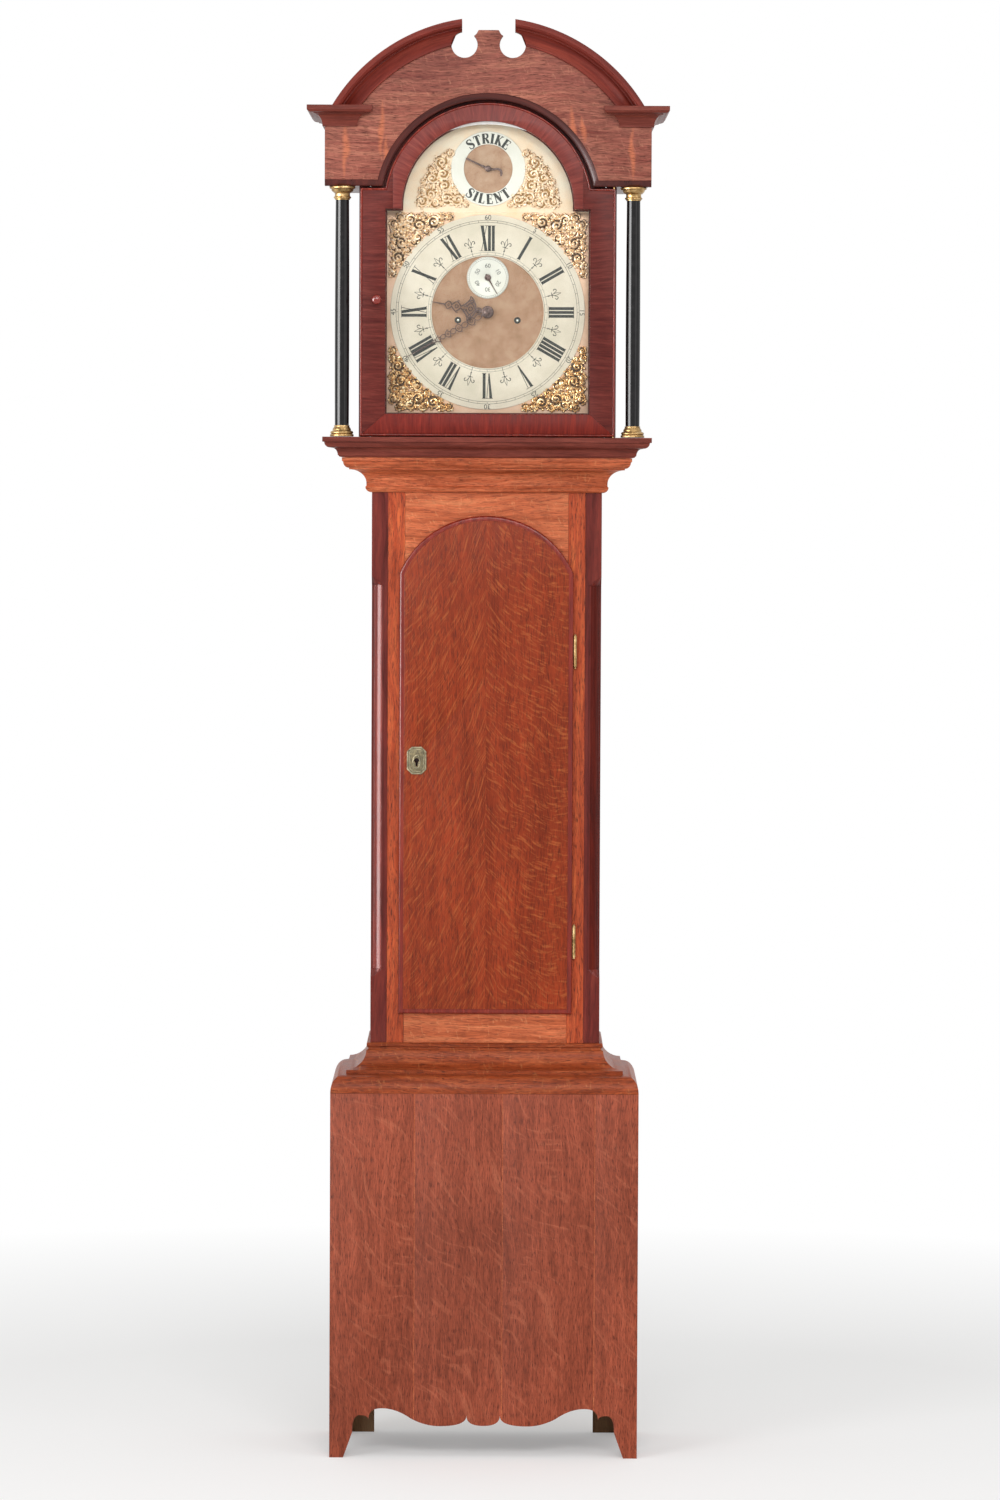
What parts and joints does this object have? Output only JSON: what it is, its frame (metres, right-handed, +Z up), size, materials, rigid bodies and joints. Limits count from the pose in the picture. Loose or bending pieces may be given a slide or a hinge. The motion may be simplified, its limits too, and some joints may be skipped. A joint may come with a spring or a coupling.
{
  "type": "longcase clock",
  "caption": "Weight-driven longcase clock with a swan-topped arched hood that slides off, glazed dial door, arched trunk door, swinging pendulum and bracket-footed base.",
  "frame": {"origin": "on the floor under the middle of the clock's bounding box", "axes": "+Z up along the case; the dial faces -Y, the backboard's rear face is the +Y side; +X is the right hand of a viewer who faces the dial"},
  "size_m": [0.5328, 0.2854, 2.1299],
  "materials": {
    "mahogany": "french polished",
    "figured_oak": "french polished, quarter sawn",
    "straight_oak": "french polished",
    "backing_pine": "bare, aged",
    "ebonised_wood": "ebonised, polished",
    "brass": "lacquered",
    "dial_brass": "matted",
    "silvered_brass": "silvered",
    "blued_steel": "blued, faded",
    "steel": "filed",
    "lead": "cast",
    "gut": "twisted gut",
    "bell_metal": "turned",
    "glass": "clear"
  },
  "bodies": {
    "case": {"backboard": "backing_pine", "base_front_panel": "figured_oak", "base_side_left": "figured_oak", "base_side_right": "figured_oak", "base_moulding": "mahogany", "trunk_side_left": "figured_oak", "trunk_side_right": "figured_oak", "trunk_corner_left": "mahogany", "trunk_corner_right": "mahogany", "trunk_stile_left": "straight_oak", "trunk_stile_right": "straight_oak", "trunk_top_rail": "straight_oak", "trunk_bottom_rail": "straight_oak", "throat_moulding": "mahogany", "seatboard": "backing_pine", "trunk_hinge_upper": "brass", "trunk_hinge_lower": "brass", "dial_plate": "dial_brass", "chapter_ring": "silvered_brass", "seconds_dial": "silvered_brass", "strike_silent_ring": "silvered_brass", "movement_front_plate": "brass", "movement_back_plate": "brass", "bell": "bell_metal", "gut_line_going": "gut", "gut_line_strike": "gut"},
    "trunk_door": {"trunk_door": "figured_oak", "trunk_door_escutcheon": "brass", "trunk_door_lock": "steel", "trunk_hinge_leaf_upper": "brass", "trunk_hinge_leaf_lower": "brass"},
    "hood": {"hood_base_moulding": "mahogany", "hood_side_left": "mahogany", "hood_side_right": "mahogany", "hood_frieze_board": "figured_oak", "hood_cornice_left": "mahogany", "hood_cornice_right": "mahogany", "hood_roof": "backing_pine", "dial_mask": "mahogany", "column_left": "ebonised_wood", "column_right": "ebonised_wood", "capital_left": "brass", "capital_right": "brass", "column_base_left": "brass", "column_base_right": "brass"},
    "hood_door": {"hood_door_frame": "mahogany", "hood_door_glass": "glass", "hood_door_knob": "mahogany"},
    "hour_hand": {"hour_hand": "blued_steel"},
    "minute_hand": {"minute_hand": "blued_steel"},
    "seconds_arbor": {"seconds_hand": "blued_steel", "escape_wheel": "brass"},
    "strike_silent_pointer": {"strike_silent_pointer": "blued_steel"},
    "pendulum": {"anchor": "steel", "pendulum_rod": "steel", "pendulum_bob": "brass"},
    "barrel_going": {"barrel_going": "brass"},
    "barrel_strike": {"barrel_strike": "brass"},
    "weight_going": {"weight_going": "lead"},
    "weight_strike": {"weight_strike": "lead"}
  },
  "joints": [
    {"name": "hood_slide", "type": "slide", "parent": "case", "child": "hood", "axis": [0, -1, 0], "range_m": [0, 0.26]},
    {"name": "hood_door_hinge", "type": "hinge", "parent": "hood", "child": "hood_door", "pos_m": [0.186, -0.1038, 1.7], "axis": [0, 0, 1], "range_deg": [0, 100]},
    {"name": "trunk_door_hinge", "type": "hinge", "parent": "case", "child": "trunk_door", "pos_m": [0.1323, -0.0504, 1.03], "axis": [0, 0, 1], "range_deg": [0, 110]},
    {"name": "minute_hand_turn", "type": "hinge", "parent": "case", "child": "minute_hand", "pos_m": [0, -0.0728, 1.7028], "axis": [0, 1, 0], "continuous": true},
    {"name": "hour_hand_turn", "type": "hinge", "parent": "case", "child": "hour_hand", "pos_m": [0, -0.0728, 1.7028], "axis": [0, 1, 0], "continuous": true},
    {"name": "seconds_arbor_turn", "type": "hinge", "parent": "case", "child": "seconds_arbor", "pos_m": [0, -0.0728, 1.7538], "axis": [0, 1, 0], "continuous": true},
    {"name": "strike_silent_turn", "type": "hinge", "parent": "case", "child": "strike_silent_pointer", "pos_m": [0, -0.0728, 1.9143], "axis": [0, 1, 0], "range_deg": [0, 130]},
    {"name": "pendulum_swing", "type": "hinge", "parent": "case", "child": "pendulum", "pos_m": [0, 0.0542, 1.7898], "axis": [0, 1, 0], "range_deg": [-3.5, 3.5]},
    {"name": "weight_going_travel", "type": "slide", "parent": "case", "child": "weight_going", "axis": [0, 0, 1], "range_m": [-0.75, 0.16], "deforming": ["gut_line_going"]},
    {"name": "weight_strike_travel", "type": "slide", "parent": "case", "child": "weight_strike", "axis": [0, 0, 1], "range_m": [-0.75, 0.16], "deforming": ["gut_line_strike"]},
    {"name": "barrel_going_turn", "type": "hinge", "parent": "case", "child": "barrel_going", "pos_m": [0.044, 0, 1.6908], "axis": [0, 1, 0], "range_deg": [-690, 3215]},
    {"name": "barrel_strike_turn", "type": "hinge", "parent": "case", "child": "barrel_strike", "pos_m": [-0.044, 0, 1.6908], "axis": [0, 1, 0], "range_deg": [-3215, 690]}
  ],
  "couplings": [
    {"joint": "hour_hand_turn", "follows": "minute_hand_turn", "ratio": 0.083333},
    {"joint": "seconds_arbor_turn", "follows": "minute_hand_turn", "ratio": 60},
    {"joint": "barrel_going_turn", "follows": "weight_going_travel", "rad_per_m": -74.627},
    {"joint": "barrel_strike_turn", "follows": "weight_strike_travel", "rad_per_m": 74.627}
  ]
}
